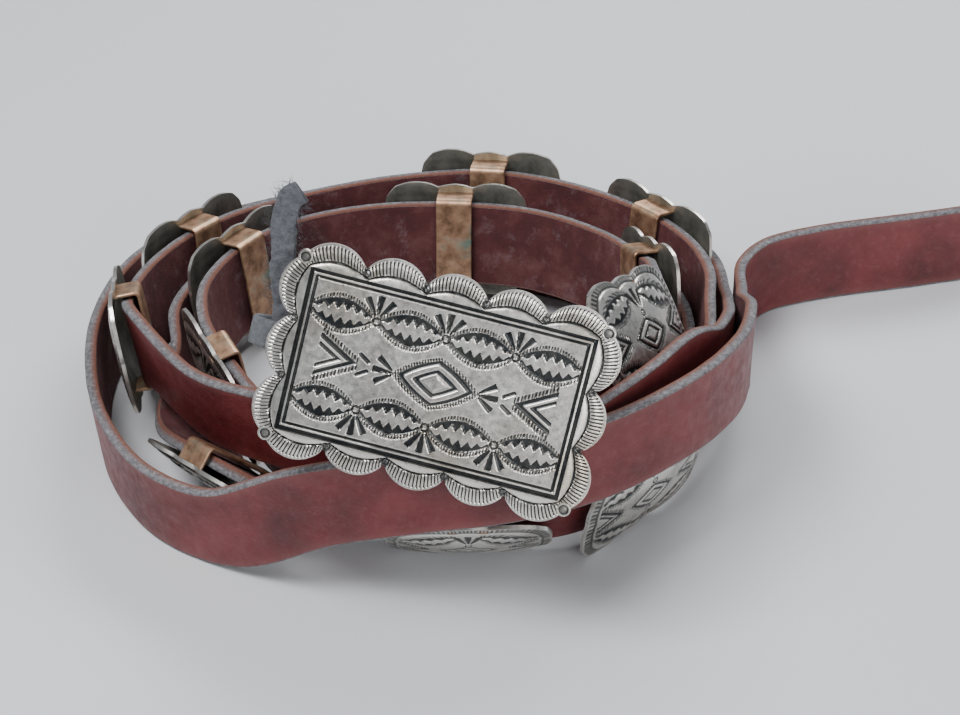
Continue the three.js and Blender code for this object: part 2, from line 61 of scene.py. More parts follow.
CONCHO_TURNS = [61, 116, 172, 227, 281, 669, 732.5, 771, 853, 887, 948, 980.5]
CURVE_STEPS = 16
STRIP_SIDES = 20

# The strap's centre line: turn in degrees from the front, reach as a share of the coil
# radius, lift as a share of the strap's width, lean in degrees with the top outward
COURSE = [
    (-13, 0.808, 2.86, -22), (5, 0.829, 2.73, -22), (15, 0.869, 2.7, -17),
    (24, 0.872, 2.71, -12), (30, 0.842, 2.66, -12), (43, 0.75, 2.31, -25),
    (61, 0.737, 2.1, -34), (82, 0.775, 1.76, -20), (99, 0.76, 1.44, -5),
    (116, 0.785, 1.06, 6), (134, 0.81, 0.92, 9), (153, 0.803, 0.88, 10),
    (172, 0.777, 0.86, 10), (192, 0.772, 0.86, 10), (211, 0.779, 0.86, 10),
    (227, 0.768, 0.86, 10), (245, 0.722, 0.88, 12), (262, 0.655, 0.94, 12),
    (281, 0.59, 0.98, 12), (307, 0.543, 0.76, 8), (336, 0.51, 0.58, 3),
    (368, 0.515, 0.51, 0), (399, 0.58, 0.51, 0), (426, 0.682, 0.51, 0),
    (445, 0.786, 0.5, 0), (459, 0.867, 0.5, 0), (475, 0.924, 0.5, 0),
    (492, 0.942, 0.5, 0), (504, 0.937, 0.5, 0), (520, 0.918, 0.5, 0),
    (536, 0.888, 0.5, 0), (555, 0.888, 0.5, 0), (573, 0.905, 0.5, 0),
    (591, 0.883, 0.52, 2), (608, 0.838, 0.53, 5), (621, 0.725, 0.46, 30),
    (632, 0.695, 0.28, 71), (644, 0.703, 0.3, 60), (669, 0.715, 0.66, 47),
    (696, 0.707, 0.61, 42), (731, 0.723, 0.62, 45), (753, 0.797, 0.66, 30),
    (772, 0.847, 0.77, 17), (791, 0.866, 0.87, 10), (804, 0.892, 1.04, 5),
    (818, 0.918, 1.08, 3), (829, 0.968, 1.0, 5), (841, 1.009, 0.92, 8),
    (853, 1.029, 0.88, 8), (870, 1.018, 0.88, 9), (887, 1.001, 0.88, 9),
    (905, 0.982, 0.8, 9), (921, 0.971, 0.76, 9), (937, 0.982, 0.76, 8),
    (952, 0.968, 0.8, 9), (966, 0.945, 0.84, 11), (981, 0.903, 0.98, 10),
    (993, 0.838, 1.2, 11), (1014, 0.714, 1.12, 13), (1036, 0.629, 1.2, 10),
    (1066, 0.656, 1.36, 4), (1089, 0.736, 1.56, 0), (1097, 0.826, 1.68, 0),
    (1105, 0.918, 1.61, 0), (1119, 0.921, 1.84, 0), (1130, 0.924, 1.91, -2),
    (1141, 0.925, 1.88, -3), (1151, 0.945, 1.6, -2), (1165, 0.956, 1.28, 0),
    (1179, 0.99, 0.88, 0), (1191, 1.058, 0.56, 0), (1203, 1.15, 0.5, 0),
    (1216, 1.181, 0.5, 0), (1231, 1.17, 0.5, 0), (1248, 1.137, 0.5, 0),
    (1267, 1.116, 0.5, 0), (1286, 1.108, 0.5, 0), (1303, 1.126, 0.51, 4),
    (1317, 1.119, 0.51, 6), (1333, 1.066, 0.51, 6), (1349, 1.017, 0.51, 6),
    (1367, 0.988, 0.51, 7), (1385, 0.962, 0.51, 9), (1401, 0.905, 0.57, 8),
    (1421, 0.876, 1.18, 6), (1441, 0.901, 1.55, 3), (1456, 0.937, 1.67, 2),
    (1473, 0.993, 1.8, 2), (1491, 1.031, 1.88, 2), (1508, 1.03, 1.72, 2),
    (1524, 1.022, 1.44, 2), (1539, 1.035, 0.96, 0), (1551, 1.117, 0.56, 0),
    (1559, 1.211, 0.5, 0), (1562, 1.356, 0.5, 0), (1561, 1.559, 0.5, 0),
    (1558, 1.883, 0.5, 0), (1556, 2.206, 0.5, 0),
]


def knot_gap(a, b):
    return math.sqrt(np.linalg.norm(b[:3] - a[:3]))


def blend(a, b, ta, tb, t):
    return ((tb - t) * a + (t - ta) * b) / (tb - ta)


def catmull(knots):
    """Centripetal Catmull-Rom through the knots, with its running length."""
    ends = np.vstack([2 * knots[0] - knots[1], knots, 2 * knots[-1] - knots[-2]])
    fine, marks = [], []
    for i in range(1, len(ends) - 2):
        p0, p1, p2, p3 = ends[i - 1:i + 3]
        t1 = knot_gap(p0, p1)
        t2 = t1 + knot_gap(p1, p2)
        t3 = t2 + knot_gap(p2, p3)
        marks.append(len(fine))
        for k in range(CURVE_STEPS):
            t = t1 + (t2 - t1) * k / CURVE_STEPS
            a1 = blend(p0, p1, 0, t1, t)
            a2 = blend(p1, p2, t1, t2, t)
            a3 = blend(p2, p3, t2, t3, t)
            b1 = blend(a1, a2, 0, t2, t)
            b2 = blend(a2, a3, t1, t3, t)
            fine.append(blend(b1, b2, t1, t2, t))
    marks.append(len(fine))
    fine.append(ends[-2])
    fine = np.array(fine)
    steps = np.linalg.norm(np.diff(fine[:, :3], axis=0), axis=1)
    return fine, np.concatenate([[0], np.cumsum(steps)]), marks


def course_line():
    knots = []
    for turn, reach, lift, lean in COURSE:
        angle = math.radians(turn - 90)
        distance = reach * COIL_RADIUS
        knots.append([distance * math.cos(angle), distance * math.sin(angle),
                      lift * STRAP_WIDTH, lean])
    return catmull(np.array(knots))


FINE, RUN, MARKS = course_line()
STRAP_LENGTH = RUN[-1]


def point_at(s):
    s = np.clip(s, 0, STRAP_LENGTH)
    return np.stack([np.interp(s, RUN, FINE[:, k]) for k in range(4)], axis=-1)


def unit(v):
    return v / np.linalg.norm(v, axis=-1, keepdims=True)


def frames_at(s, reach=2.5):
    here = point_at(s)
    along = unit(point_at(s + reach)[..., :3] - point_at(s - reach)[..., :3])
    level = unit(np.cross(along, [0.0, 0.0, 1.0]))
    rise = np.cross(level, along)
    lean = np.radians(here[..., 3:4])
    up = rise * np.cos(lean) + level * np.sin(lean)
    out = level * np.cos(lean) - rise * np.sin(lean)
    return here[..., :3], along, up, out


def distance_at_turn(turn):
    for i in range(1, len(COURSE)):
        if COURSE[i][0] >= turn:
            share = (turn - COURSE[i - 1][0]) / (COURSE[i][0] - COURSE[i - 1][0])
            return RUN[MARKS[i - 1]] + share * (RUN[MARKS[i]] - RUN[MARKS[i - 1]])
    return STRAP_LENGTH


def waves(x, y, seed, count=7):
    """Smooth unevenness between -1 and 1 made of a few crossing sine waves."""
    rng = np.random.default_rng(seed)
    total = 0
    for k in range(count):
        angle = rng.uniform(0, 6.28)
        pitch = 1.7 ** (k % 4)
        phase = rng.uniform(0, 6.28)
        total = total + np.sin((x * math.cos(angle) + y * math.sin(angle)) * pitch + phase)
    return total / count


def grid_faces(rows, columns, wrap):
    index = np.arange(rows * columns).reshape(rows, columns)
    right = np.roll(index, -1, axis=1) if wrap else index[:, 1:]
    left = index if wrap else index[:, :-1]
    quads = np.stack([left[:-1], right[:-1], right[1:], left[1:]], axis=-1)
    return quads.reshape(-1, 4)


def mesh_object(name, points, faces, tint=None, materials=(), face_material=None, smooth=True):
    mesh = bpy.data.meshes.new(name)
    faces = [tuple(int(i) for i in face) for face in faces]
    mesh.from_pydata((np.asarray(points) / 1000).tolist(), [], faces)
    if smooth:
        mesh.polygons.foreach_set("use_smooth", [True] * len(mesh.polygons))
    if tint is not None:
        layer = mesh.attributes.new("tint", "FLOAT", "POINT")
        layer.data.foreach_set("value", np.asarray(tint, dtype=np.float32))
    for material in materials:
        mesh.materials.append(material)
    if face_material is not None:
        mesh.polygons.foreach_set("material_index", np.asarray(face_material, dtype=np.int32))
    mesh.update()
    piece = bpy.data.objects.new(name, mesh)
    bpy.context.scene.collection.objects.link(piece)
    return piece


# Materials


class Shader:
    def __init__(self, name):
        self.material = bpy.data.materials.new(name)
        self.material.use_nodes = True
        self.tree = self.material.node_tree
        self.surface = self.tree.nodes["Principled BSDF"]
        self.place = self.node("ShaderNodeTexCoord").outputs["Object"]

    def node(self, kind, **settings):
        made = self.tree.nodes.new(kind)
        for key, value in settings.items():
            setattr(made, key, value)
        return made

    def join(self, source, socket):
        self.tree.links.new(source, socket)

    def noise(self, scale, detail=6, rough=0.6):
        made = self.node("ShaderNodeTexNoise")
        made.inputs["Scale"].default_value = scale
        made.inputs["Detail"].default_value = detail
        made.inputs["Roughness"].default_value = rough
        self.join(self.place, made.inputs["Vector"])
        return made.outputs["Fac"]

    def ramp(self, source, stops):
        made = self.node("ShaderNodeValToRGB")
        ramp = made.color_ramp
        while len(ramp.elements) < len(stops):
            ramp.elements.new(0.5)
        for element, (place, colour) in zip(ramp.elements, stops):
            element.position = place
            if isinstance(colour, (int, float)):
                colour = (colour, colour, colour)
            element.color = (*colour, 1)
        self.join(source, made.inputs["Fac"])
        return made.outputs["Color"]

    def mix(self, share, a, b):
        made = self.node("ShaderNodeMix", data_type="RGBA")
        self.join(share, made.inputs[0])
        for value, socket in ((a, made.inputs[6]), (b, made.inputs[7])):
            if isinstance(value, tuple):
                socket.default_value = (*value, 1)
            else:
                self.join(value, socket)
        return made.outputs[2]

    def attribute(self, name):
        return self.node("ShaderNodeAttribute", attribute_name=name).outputs["Fac"]

    def bump(self, source, strength, distance):
        made = self.node("ShaderNodeBump")
        made.inputs["Strength"].default_value = strength
        made.inputs["Distance"].default_value = distance
        self.join(source, made.inputs["Height"])
        self.join(made.outputs["Normal"], self.surface.inputs["Normal"])


def silver_material():
    made = Shader("silver")
    recess = made.attribute("tint")
    cloud = made.noise(90)
    bright = made.ramp(cloud, [(0.3, (0.50, 0.47, 0.43)), (0.55, (0.72, 0.70, 0.66)),
                               (0.75, (0.80, 0.78, 0.74))])
    dark = made.ramp(cloud, [(0.3, (0.025, 0.03, 0.035)), (0.7, (0.09, 0.09, 0.085))])
    patches = made.ramp(made.noise(34, 4), [(0.50, 0.0), (0.68, 0.6)])
    worn = made.mix(patches, bright, (0.44, 0.37, 0.28))
    spread = made.ramp(recess, [(0.05, 0.0), (0.45, 0.75), (0.9, 1.0)])
    made.join(made.mix(spread, worn, dark), made.surface.inputs["Base Color"])
    made.surface.inputs["Metallic"].default_value = 0.95
    rough = made.ramp(made.noise(700), [(0.3, 0.24), (0.7, 0.42)])
    made.join(rough, made.surface.inputs["Roughness"])
    made.bump(made.noise(1400, 8), 0.12, 0.0003)
    return made.material


def tarnished_material():
    made = Shader("plate backs")
    colour = made.ramp(made.noise(160), [(0.3, (0.16, 0.17, 0.15)), (0.5, (0.33, 0.34, 0.30)),
                                         (0.7, (0.50, 0.47, 0.40))])
    made.join(colour, made.surface.inputs["Base Color"])
    made.surface.inputs["Metallic"].default_value = 0.85
    made.surface.inputs["Roughness"].default_value = 0.45
    made.bump(made.noise(900), 0.2, 0.0003)
    return made.material


def copper_material():
    made = Shader("copper")
    shade = made.ramp(made.noise(220), [(0.3, (0.13, 0.075, 0.045)), (0.5, (0.40, 0.24, 0.15)),
                                        (0.7, (0.58, 0.39, 0.26))])
    green = made.node("ShaderNodeMath", operation="MULTIPLY")
    made.join(made.attribute("tint"), green.inputs[0])
    made.join(made.ramp(made.noise(120), [(0.52, 0.0), (0.66, 0.9)]), green.inputs[1])
    made.join(made.mix(green.outputs[0], shade, (0.05, 0.22, 0.20)), made.surface.inputs["Base Color"])
    made.surface.inputs["Metallic"].default_value = 0.8
    made.surface.inputs["Roughness"].default_value = 0.42
    made.bump(made.noise(700), 0.15, 0.0003)
    return made.material


def grain_material():
    grain = Shader("leather grain")
    base = grain.ramp(grain.noise(45, 8), [(0.3, (0.058, 0.006, 0.008)), (0.5, (0.112, 0.013, 0.015)),
                                           (0.72, (0.165, 0.026, 0.028))])
    worn = grain.ramp(grain.noise(500, 8, 0.7), [(0.52, 0.0), (0.76, 0.28)])
    colour = grain.mix(worn, base, (0.26, 0.09, 0.10))
    edge = grain.ramp(grain.attribute("tint"), [(0.0, 0.0), (1.0, 0.8)])
    grain.join(grain.mix(edge, colour, (0.17, 0.06, 0.055)), grain.surface.inputs["Base Color"])
    rough = grain.ramp(grain.noise(300), [(0.3, 0.38), (0.7, 0.62)])
    grain.join(rough, grain.surface.inputs["Roughness"])
    grain.bump(grain.noise(1100, 8, 0.7), 0.45, 0.0005)
    return grain.material


def flesh_material():
    flesh = Shader("leather flesh side")
    base = flesh.ramp(flesh.noise(60, 8, 0.7), [(0.3, (0.035, 0.007, 0.009)), (0.5, (0.085, 0.018, 0.02)),
                                                (0.7, (0.15, 0.055, 0.055))])
    patches = flesh.ramp(flesh.noise(140, 8, 0.75), [(0.54, 0.0), (0.72, 0.45)])
    flesh.join(flesh.mix(patches, base, (0.24, 0.18, 0.19)), flesh.surface.inputs["Base Color"])
    flesh.surface.inputs["Roughness"].default_value = 0.95
    flesh.bump(flesh.noise(1500, 8, 0.8), 0.8, 0.0008)
    return flesh.material


def cut_edge_material():
    edge = Shader("leather cut edge")
    specks = edge.ramp(edge.noise(900, 8, 0.8), [(0.3, (0.035, 0.033, 0.037)),
                                                 (0.5, (0.14, 0.135, 0.145)), (0.7, (0.34, 0.34, 0.36))])
    rust = edge.ramp(edge.attribute("tint"), [(0.2, 0.0), (0.9, 0.85)])
    edge.join(edge.mix(rust, specks, (0.16, 0.045, 0.02)), edge.surface.inputs["Base Color"])
    edge.surface.inputs["Roughness"].default_value = 0.9
    edge.bump(edge.noise(1300, 8, 0.8), 0.8, 0.0008)
    return edge.material


def suede_material(name, low, high):
    made = Shader(name)
    colour = made.ramp(made.noise(500, 8, 0.8), [(0.3, low), (0.7, high)])
    made.join(colour, made.surface.inputs["Base Color"])
    made.surface.inputs["Roughness"].default_value = 1.0
    made.bump(made.noise(1600, 8, 0.8), 0.9, 0.0008)
    return made.material


# Strap


def strap_section(half, thick, soft):
    """The strap's outline across: place, material slot and tint of each point, all the way round."""
    wide, deep = half - soft, thick - soft
    face = np.linspace(-1, 1, 13)
    corner = np.radians([15, 45, 75])
    levels = np.array([0.5, -0.1, -0.6])
    section = []

    def rounded(side, way, angles, tint):
        for a in angles:
            place = (side * (wide + soft * math.sin(a)), way * (deep + soft * math.cos(a)))
            section.append((*place, 2, tint))

    def cut_edge(side, shares):
        for f in shares:
            section.append((side * half, f * deep, 2, 0.35 - f * 0.5))

    for f in face:
        section.append((f * wide, thick, 0, max(0, abs(f) - 0.8) * 3))
    rounded(1, 1, corner, 0.0)
    cut_edge(1, levels)
    rounded(1, -1, corner[::-1], 1.0)
    for f in face[::-1]:
        section.append((f * wide, -thick, 1, 0.0))
    rounded(-1, -1, corner, 1.0)
    cut_edge(-1, levels[::-1])
    rounded(-1, 1, corner[::-1], 0.0)
    return section


def strap_piece(name, materials):
    tip, step, soft = 12.0, 2.6, 0.6
    short_of_point = 0.985
    body = np.arange(0, STRAP_LENGTH - tip, step)
    swing = np.linspace(0, math.pi / 2 * short_of_point, 14)
    s = np.concatenate([body, STRAP_LENGTH - tip + tip * np.sin(swing)])
    narrow = np.concatenate([np.ones(len(body)), np.cos(swing)])
    centre, along, up, out = frames_at(s)
    rows = strap_section(STRAP_WIDTH / 2, STRAP_THICK / 2, soft)
    section = np.array([row[:2] for row in rows])
    kind = np.array([row[2] for row in rows])
    share = np.array([row[3] for row in rows])
    across = section[:, 0][None] * narrow[:, None]
    depth = np.repeat(section[:, 1][None], len(s), axis=0)
    rough = waves(s[:, None] * 0.9, section[:, 0][None] * 0.7, 3)
    fuzz = waves(s[:, None] * 2.3, section[:, 1][None] * 2, 8)
    across = across * (1 - 0.006 - 0.006 * fuzz)
    depth = depth * (1 - 0.04 + 0.04 * rough)
    points = (centre[:, None] + up[:, None] * across[..., None] + out[:, None] * depth[..., None])
    count = len(section)
    quads = grid_faces(len(s), count, True)[:, ::-1]
    columns = np.tile(np.arange(count), len(s) - 1)
    following = (columns + 1) % count
    groups = np.where(kind[columns] == kind[following], kind[columns], 2)
    faces = [tuple(q) for q in quads]
    faces.append(tuple(range(count)))
    faces.append(tuple(range((len(s) - 1) * count, len(s) * count))[::-1])
    groups = np.concatenate([groups, [2, 2]])
    tint = np.tile(share, len(s))
    return mesh_object(name, points.reshape(-1, 3), faces, tint, materials, groups)


# Stamps. Each adds to a height field, in millimetres, over arrays x and y


def smooth_step(low, high, value):
    t = np.clip((value - low) / (high - low), 0, 1)
    return t * t * (3 - 2 * t)


def near_line(x, y, a, b, width):
    """1 on the segment from a to b, falling to 0 over its half width."""
    direction = np.array(b) - np.array(a)
    length = np.hypot(*direction)
    t = np.clip(((x - a[0]) * direction[0] + (y - a[1]) * direction[1]) / length ** 2, 0, 1)
    distance = np.hypot(x - a[0] - t * direction[0], y - a[1] - t * direction[1])
    return 1 - smooth_step(width * 0.55, width, distance)


def triangle_wave(t):
    return np.abs((t % 1) * 2 - 1)


def punch(x, y, cx, cy, radius):
    distance = np.hypot(x - cx, y - cy)
    ring = 1 - smooth_step(0.16, 0.32, np.abs(distance - radius))
    return 0.9 * ring + 0.5 * (1 - smooth_step(0.15, 0.35, distance))


def fan(x, y, cx, cy, angle, size, spread=34):
    """Three teardrop strokes that open out from a point."""
    total = np.zeros_like(x)
    for turn in (-spread, 0, spread):
        a = math.radians(angle + turn)
        dx, dy = x - cx, y - cy
        t = (dx * math.cos(a) + dy * math.sin(a)) / size
        side = np.abs(-dx * math.sin(a) + dy * math.cos(a))
        inside = (t > 0.18) & (t < 1)
        width = 0.16 * size * np.sqrt(np.clip((t - 0.18) / 0.82, 0, 1)) * (t < 1)
        total = np.maximum(total, np.where(inside, 1 - smooth_step(width * 0.7, width + 0.05, side), 0))
    return total


def lens(x, y, cx, cy, length, height, turn=0.0, teeth=7):
    """A leaf of two arcs: sawtooth recesses round a raised band, ticks outside the arcs."""
    a = math.radians(turn)
    u = ((x - cx) * math.cos(a) + (y - cy) * math.sin(a)) / (length / 2)
    v = -(x - cx) * math.sin(a) + (y - cy) * math.cos(a)
    arc = (height / 2) * np.clip(1 - u * u, 0, 1)
    away = np.abs(v)
    step = np.where(v > 0, 0.0, 0.5)
    saw = (0.22 + 0.46 * triangle_wave(u * teeth / 2 + step)) * arc
    cut = smooth_step(-0.12, 0.12, away - saw) * (1 - smooth_step(-0.1, 0.14, away - arc * 0.93))
    cut = cut * (np.abs(u) < 0.9)
    tick_zone = smooth_step(-0.05, 0.12, away - arc) * (1 - smooth_step(0.95, 1.2, away - arc))
    ticks = tick_zone * smooth_step(0.35, 0.7, triangle_wave(u * length / 1.45)) * (np.abs(u) < 0.97)
    line = (1 - smooth_step(0.08, 0.22, np.abs(away - arc))) * (np.abs(u) < 1)
    return np.maximum(np.maximum(cut, 0.75 * ticks), 0.6 * line)


def diamond(x, y, cx, cy, half_x, half_y, bow=0.25):
    """Two nested diamonds with hollow sides, ticks outside and a four-point centre."""
    u, v = np.abs(x - cx) / half_x, np.abs(y - cy) / half_y
    reach = u + v - bow * u * v * 4 * 0.35
    outer = 1 - smooth_step(0.05, 0.12, np.abs(reach - 1))
    inner = 1 - smooth_step(0.05, 0.13, np.abs(reach - 0.56))
    zone = smooth_step(1.0, 1.05, reach) * (1 - smooth_step(1.22, 1.3, reach))
    ticks = zone * smooth_step(0.35, 0.7, triangle_wave((x - cx + (y - cy) * 0.3) / 0.72))
    star = 1 - smooth_step(0.02, 0.05, u * v + 0.12 * np.maximum(u, v) - 0.012)
    star = star * (reach < 0.42)
    shade = 0.28 * (reach < 0.56) * (1 - star)
    return np.maximum.reduce([outer, inner, 0.8 * ticks, shade])


def chevron(x, y, cx, cy, length, height, facing):
    """A wedge whose point faces one way, with ticks along its outer sides."""
    u = (x - cx) * facing / length
    v = np.abs(y - cy) / (height / 2)
    edge = v - (0.5 - u)
    band = 1 - smooth_step(0.09, 0.17, np.abs(edge))
    inner = 1 - smooth_step(0.06, 0.13, np.abs(edge + 0.42))
    zone = smooth_step(0.12, 0.2, edge) * (1 - smooth_step(0.42, 0.5, edge))
    ticks = zone * smooth_step(0.35, 0.7, triangle_wave((x - cx) / 0.8))
    live = (u > -0.5) * (u < 0.62)
    return np.maximum.reduce([band, inner, 0.8 * ticks]) * live


def buckle_panel(x, y):
    """Depth of the stamping, 0 to 1, inside the buckle's groove frame."""
    half_x, half_y = FRAME_LENGTH / 2, FRAME_HEIGHT / 2
    edge = np.minimum(half_x - np.abs(x), half_y - np.abs(y))
    groove = 1 - smooth_step(0.35, 0.6, np.abs(edge - 0.55))
    groove = np.maximum(groove, 1 - smooth_step(0.2, 0.42, np.abs(edge - 2.0)))
    depth = np.maximum(groove, 0)
    inside = edge > 2.5
    figures = np.zeros_like(x)
    pitch, row_place, lens_height = 17.6, 11.4, 8.2
    chevron_place, fan_place = 25.5, 10.2
    for side in (1, -1):
        row = side * row_place
        for k in range(4):
            figures = np.maximum(figures, lens(x, y, (k - 1.5) * pitch, row, pitch * 0.95, lens_height))
        for k in range(3):
            cx = (k - 1) * pitch
            figures = np.maximum(figures, punch(x, y, cx, row, 0.95))
            figures = np.maximum(figures, fan(x, y, cx, row + side * 0.6, 90 * side, 6.0))
    figures = np.maximum(figures, diamond(x, y, 0, 0, 8.9, 5.5))
    for side in (1, -1):
        figures = np.maximum(figures, chevron(x, y, side * chevron_place, 0, 9.0, 10.0, -side))
        figures = np.maximum(figures, fan(x, y, side * fan_place, 0, 0 if side > 0 else 180, 5.6))
        for lift in (1, -1):
            a, b = (side * 17.2, 1.2 * lift), (side * 19.4, 2.6 * lift)
            figures = np.maximum(figures, near_line(x, y, a, b, 0.6))
    return np.maximum(depth, figures * inside)


def bulge_points(start, end, rise, count):
    chord = math.dist(start, end)
    radius = (chord * chord / 4 + rise * rise) / (2 * rise)
    half = math.asin(min(1, chord / 2 / radius))
    along = ((end[0] - start[0]) / chord, (end[1] - start[1]) / chord)
    side = (along[1], -along[0])
    points = []
    for i in range(count):
        angle = -half + 2 * half * i / count
        px = chord / 2 + radius * math.sin(angle)
        py = radius * math.cos(angle) - radius + rise
        points.append((start[0] + along[0] * px + side[0] * py,
                       start[1] + along[1] * px + side[1] * py))
    return points


def border_corners(extra):
    x, y = FRAME_LENGTH / 2 + extra, FRAME_HEIGHT / 2 + extra
    sides = [((-x, -y), (x, -y), SCALLOPS_ALONG), ((x, -y), (x, y), SCALLOPS_ACROSS),
             ((x, y), (-x, y), SCALLOPS_ALONG), ((-x, y), (-x, -y), SCALLOPS_ACROSS)]
    corners = []
    for a, b, parts in sides:
        for i in range(parts):
            corners.append((a[0] + (b[0] - a[0]) * i / parts, a[1] + (b[1] - a[1]) * i / parts))
    return corners


def buckle_front():
    """Front surface: a straight grid inside the frame, then fluted scallops round it."""
    nx, ny = 330, 200
    half_x, half_y = FRAME_LENGTH / 2, FRAME_HEIGHT / 2
    gx, gy = np.meshgrid(np.linspace(-half_x, half_x, nx), np.linspace(-half_y, half_y, ny))
    panel_depth = buckle_panel(gx, gy)
    crown = 0.5 * (1 - (gx / half_x) ** 2) * (1 - (gy / half_y) ** 2)
    height = BUCKLE_THICK + 0.05 + crown * 0.6 - 0.5 * panel_depth
    panel = np.stack([gx, gy, height], axis=-1).reshape(-1, 3)
    panel_faces = grid_faces(ny, nx, False)
    per, rings = 76, 26
    inner, outer = border_corners(0), border_corners(BORDER)
    base, rim, turn = [], [], []
    for i in range(len(outer)):
        j = (i + 1) % len(outer)
        rim += bulge_points(outer[i], outer[j], SCALLOP_RISE - 0.1, per)
        for k in range(per):
            t = k / per
            base.append((inner[i][0] + (inner[j][0] - inner[i][0]) * t,
                         inner[i][1] + (inner[j][1] - inner[i][1]) * t))
            turn.append(t)
    base, rim, turn = np.array(base), np.array(rim), np.array(turn)
    r = np.linspace(0, 1, rings)[:, None]
    xy = base[None] * (1 - r[..., None]) + rim[None] * r[..., None]
    t = turn[None] + 0 * r
    petal = 0.08 + 0.26 * np.sqrt(np.clip(1 - (2 * t - 1) ** 2, 0, 1))
    petal_edge = np.abs(r - petal)
    ray = 1 - triangle_wave(t * 19)
    width = 0.16 + 0.24 * smooth_step(0.3, 0.9, r)
    flute = 1 - smooth_step(width * 0.7, width * 1.5, ray)
    flute = flute * smooth_step(petal + 0.03, petal + 0.07, r) * (1 - smooth_step(0.87, 0.9, r))
    ridge = 1 - smooth_step(0.02, 0.05, petal_edge)
    dots = (1 - smooth_step(0.02, 0.04, np.abs(r - 0.87))) * (1 - smooth_step(0.3, 0.6, ray))
    junction = 1 - smooth_step(0.045, 0.07, np.minimum(t, 1 - t) + 0 * r)
    depth = np.maximum.reduce([flute * 0.85, ridge, dots, junction * (r > 0.35) * 0.7])
    punched = 0 * depth
    for cx, cy in border_corners(BORDER * 0.62):
        punched = np.maximum(punched, punch(xy[..., 0], xy[..., 1], cx, cy, 0.8))
    depth = np.maximum(depth, punched)
    fall = 0.55 * smooth_step(0.5, 1, r) + 0 * t
    swell = 0.55 * (r < petal) * (1 - (r / np.maximum(petal, 0.05)) ** 2)
    border_height = BUCKLE_THICK + 0.05 - fall - 0.4 * depth + swell
    border = np.concatenate([xy, border_height[..., None]], axis=-1).reshape(-1, 3)
    border_faces = grid_faces(rings, len(rim), True)
    panel_tint, border_tint = depth_tint(panel_depth), depth_tint(depth)
    back_z = 0.02
    side = np.concatenate([rim, np.full((len(rim), 1), back_z)], axis=1)
    side_start = len(panel) + (rings - 1) * len(rim)
    back_start = len(panel) + len(border)
    points = np.concatenate([panel, border, side, [[0, 0, back_z]]])
    count = len(rim)
    ring = np.arange(count)
    following = (ring + 1) % count
    skirt = np.stack([side_start + ring, side_start + following,
                      back_start + following, back_start + ring], 1)
    faces = [tuple(f) for f in panel_faces]
    faces += [tuple(f) for f in border_faces + len(panel)]
    faces += [tuple(f) for f in skirt]
    centre = back_start + count
    backs = [(centre, int(back_start + b), int(back_start + a)) for a, b in zip(ring, following)]
    tint = np.concatenate([panel_tint.ravel(), border_tint.ravel(), np.zeros(count + 1)])
    groups = [0] * len(faces) + [1] * len(backs)
    return points, faces + backs, tint, groups


def knob_points():
    """Four small round bosses on the corners, each with a dished middle."""
    radii = [0.0, 0.7, 1.05, 1.2, 1.3, 1.45, 1.7, 1.85, 1.9]
    lifts = [-0.05, -0.08, -0.15, -0.12, 0.15, 0.2, 0.15, -0.05, -1.2]
    shades = [0.35, 0.4, 0.75, 0.9, 0.3, 0, 0, 0.1, 0.3]
    points, faces, tint = [], [], []
    reach_x = FRAME_LENGTH / 2 + BORDER - KNOB_INSET
    reach_y = FRAME_HEIGHT / 2 + BORDER - KNOB_INSET
    around, base = 28, BUCKLE_THICK - 0.1
    for sx, sy in ((-1, -1), (1, -1), (1, 1), (-1, 1)):
        first = len(points)
        for radius, lift, shade in zip(radii, lifts, shades):
            ring = max(radius, 0.01)
            for k in range(around):
                a = 2 * math.pi * k / around
                points.append((sx * reach_x + ring * math.cos(a),
                               sy * reach_y + ring * math.sin(a), base + lift))
                tint.append(shade)
        faces += [tuple(int(i) + first for i in f) for f in grid_faces(len(radii), around, True)]
    return np.array(points, dtype=float), faces, tint


def depth_tint(depth):
    return np.clip(depth, 0, 1) ** 1.2


CONCHO_QUARTER = [(1, 0), (0.995, 0.45), (0.95, 0.73), (0.83, 0.91), (0.62, 0.995), (0.4, 0.99),
                  (0.24, 0.92), (0.12, 0.96), (0, 0.98)]


def concho_outline(count):
    """Outline points at even angles, from the same quarter as the CAD plate."""
    quarter = [(a * CONCHO_LENGTH / 2, u * CONCHO_HEIGHT / 2) for a, u in CONCHO_QUARTER]
    angles = [math.atan2(y, x) for x, y in quarter]
    reaches = [math.hypot(x, y) for x, y in quarter]
    theta = np.arange(count) * 2 * math.pi / count
    folded = np.arcsin(np.abs(np.sin(theta)))
    return theta, np.interp(folded, angles, reaches)


def concho_depth(x, y, edge):
    """Depth of the stamping, 0 to 1. edge is the share of the way out to the rim."""
    depth = diamond(x, y, 0, 0, 6.6, 4.2)
    for sx in (1, -1):
        depth = np.maximum(depth, chevron(x, y, sx * 14.6, 0, 7.0, 8.6, -sx))
        for sy in (1, -1):
            leaf = lens(x, y, sx * 10.6, sy * 9.2, 17.0, 6.4, turn=-18 * sx * sy, teeth=6)
            depth = np.maximum(depth, leaf)
    for sy in (1, -1):
        depth = np.maximum(depth, fan(x, y, 0, sy * 6.6, 90 * sy, 6.4, spread=30))
        depth = np.maximum(depth, punch(x, y, 0, sy * 6.0, 0.8))
    depth = depth * (1 - smooth_step(0.86, 0.9, edge))
    angle = np.arctan2(y * 1.2, x)
    ticks = smooth_step(0.3, 0.7, triangle_wave(angle / (2 * math.pi) * 116))
    rim = ticks * smooth_step(0.88, 0.9, edge) * (1 - smooth_step(0.965, 0.985, edge))
    line = 1 - smooth_step(0.008, 0.016, np.abs(edge - 0.885))
    return np.maximum.reduce([depth, rim * 0.85, line * 0.7])


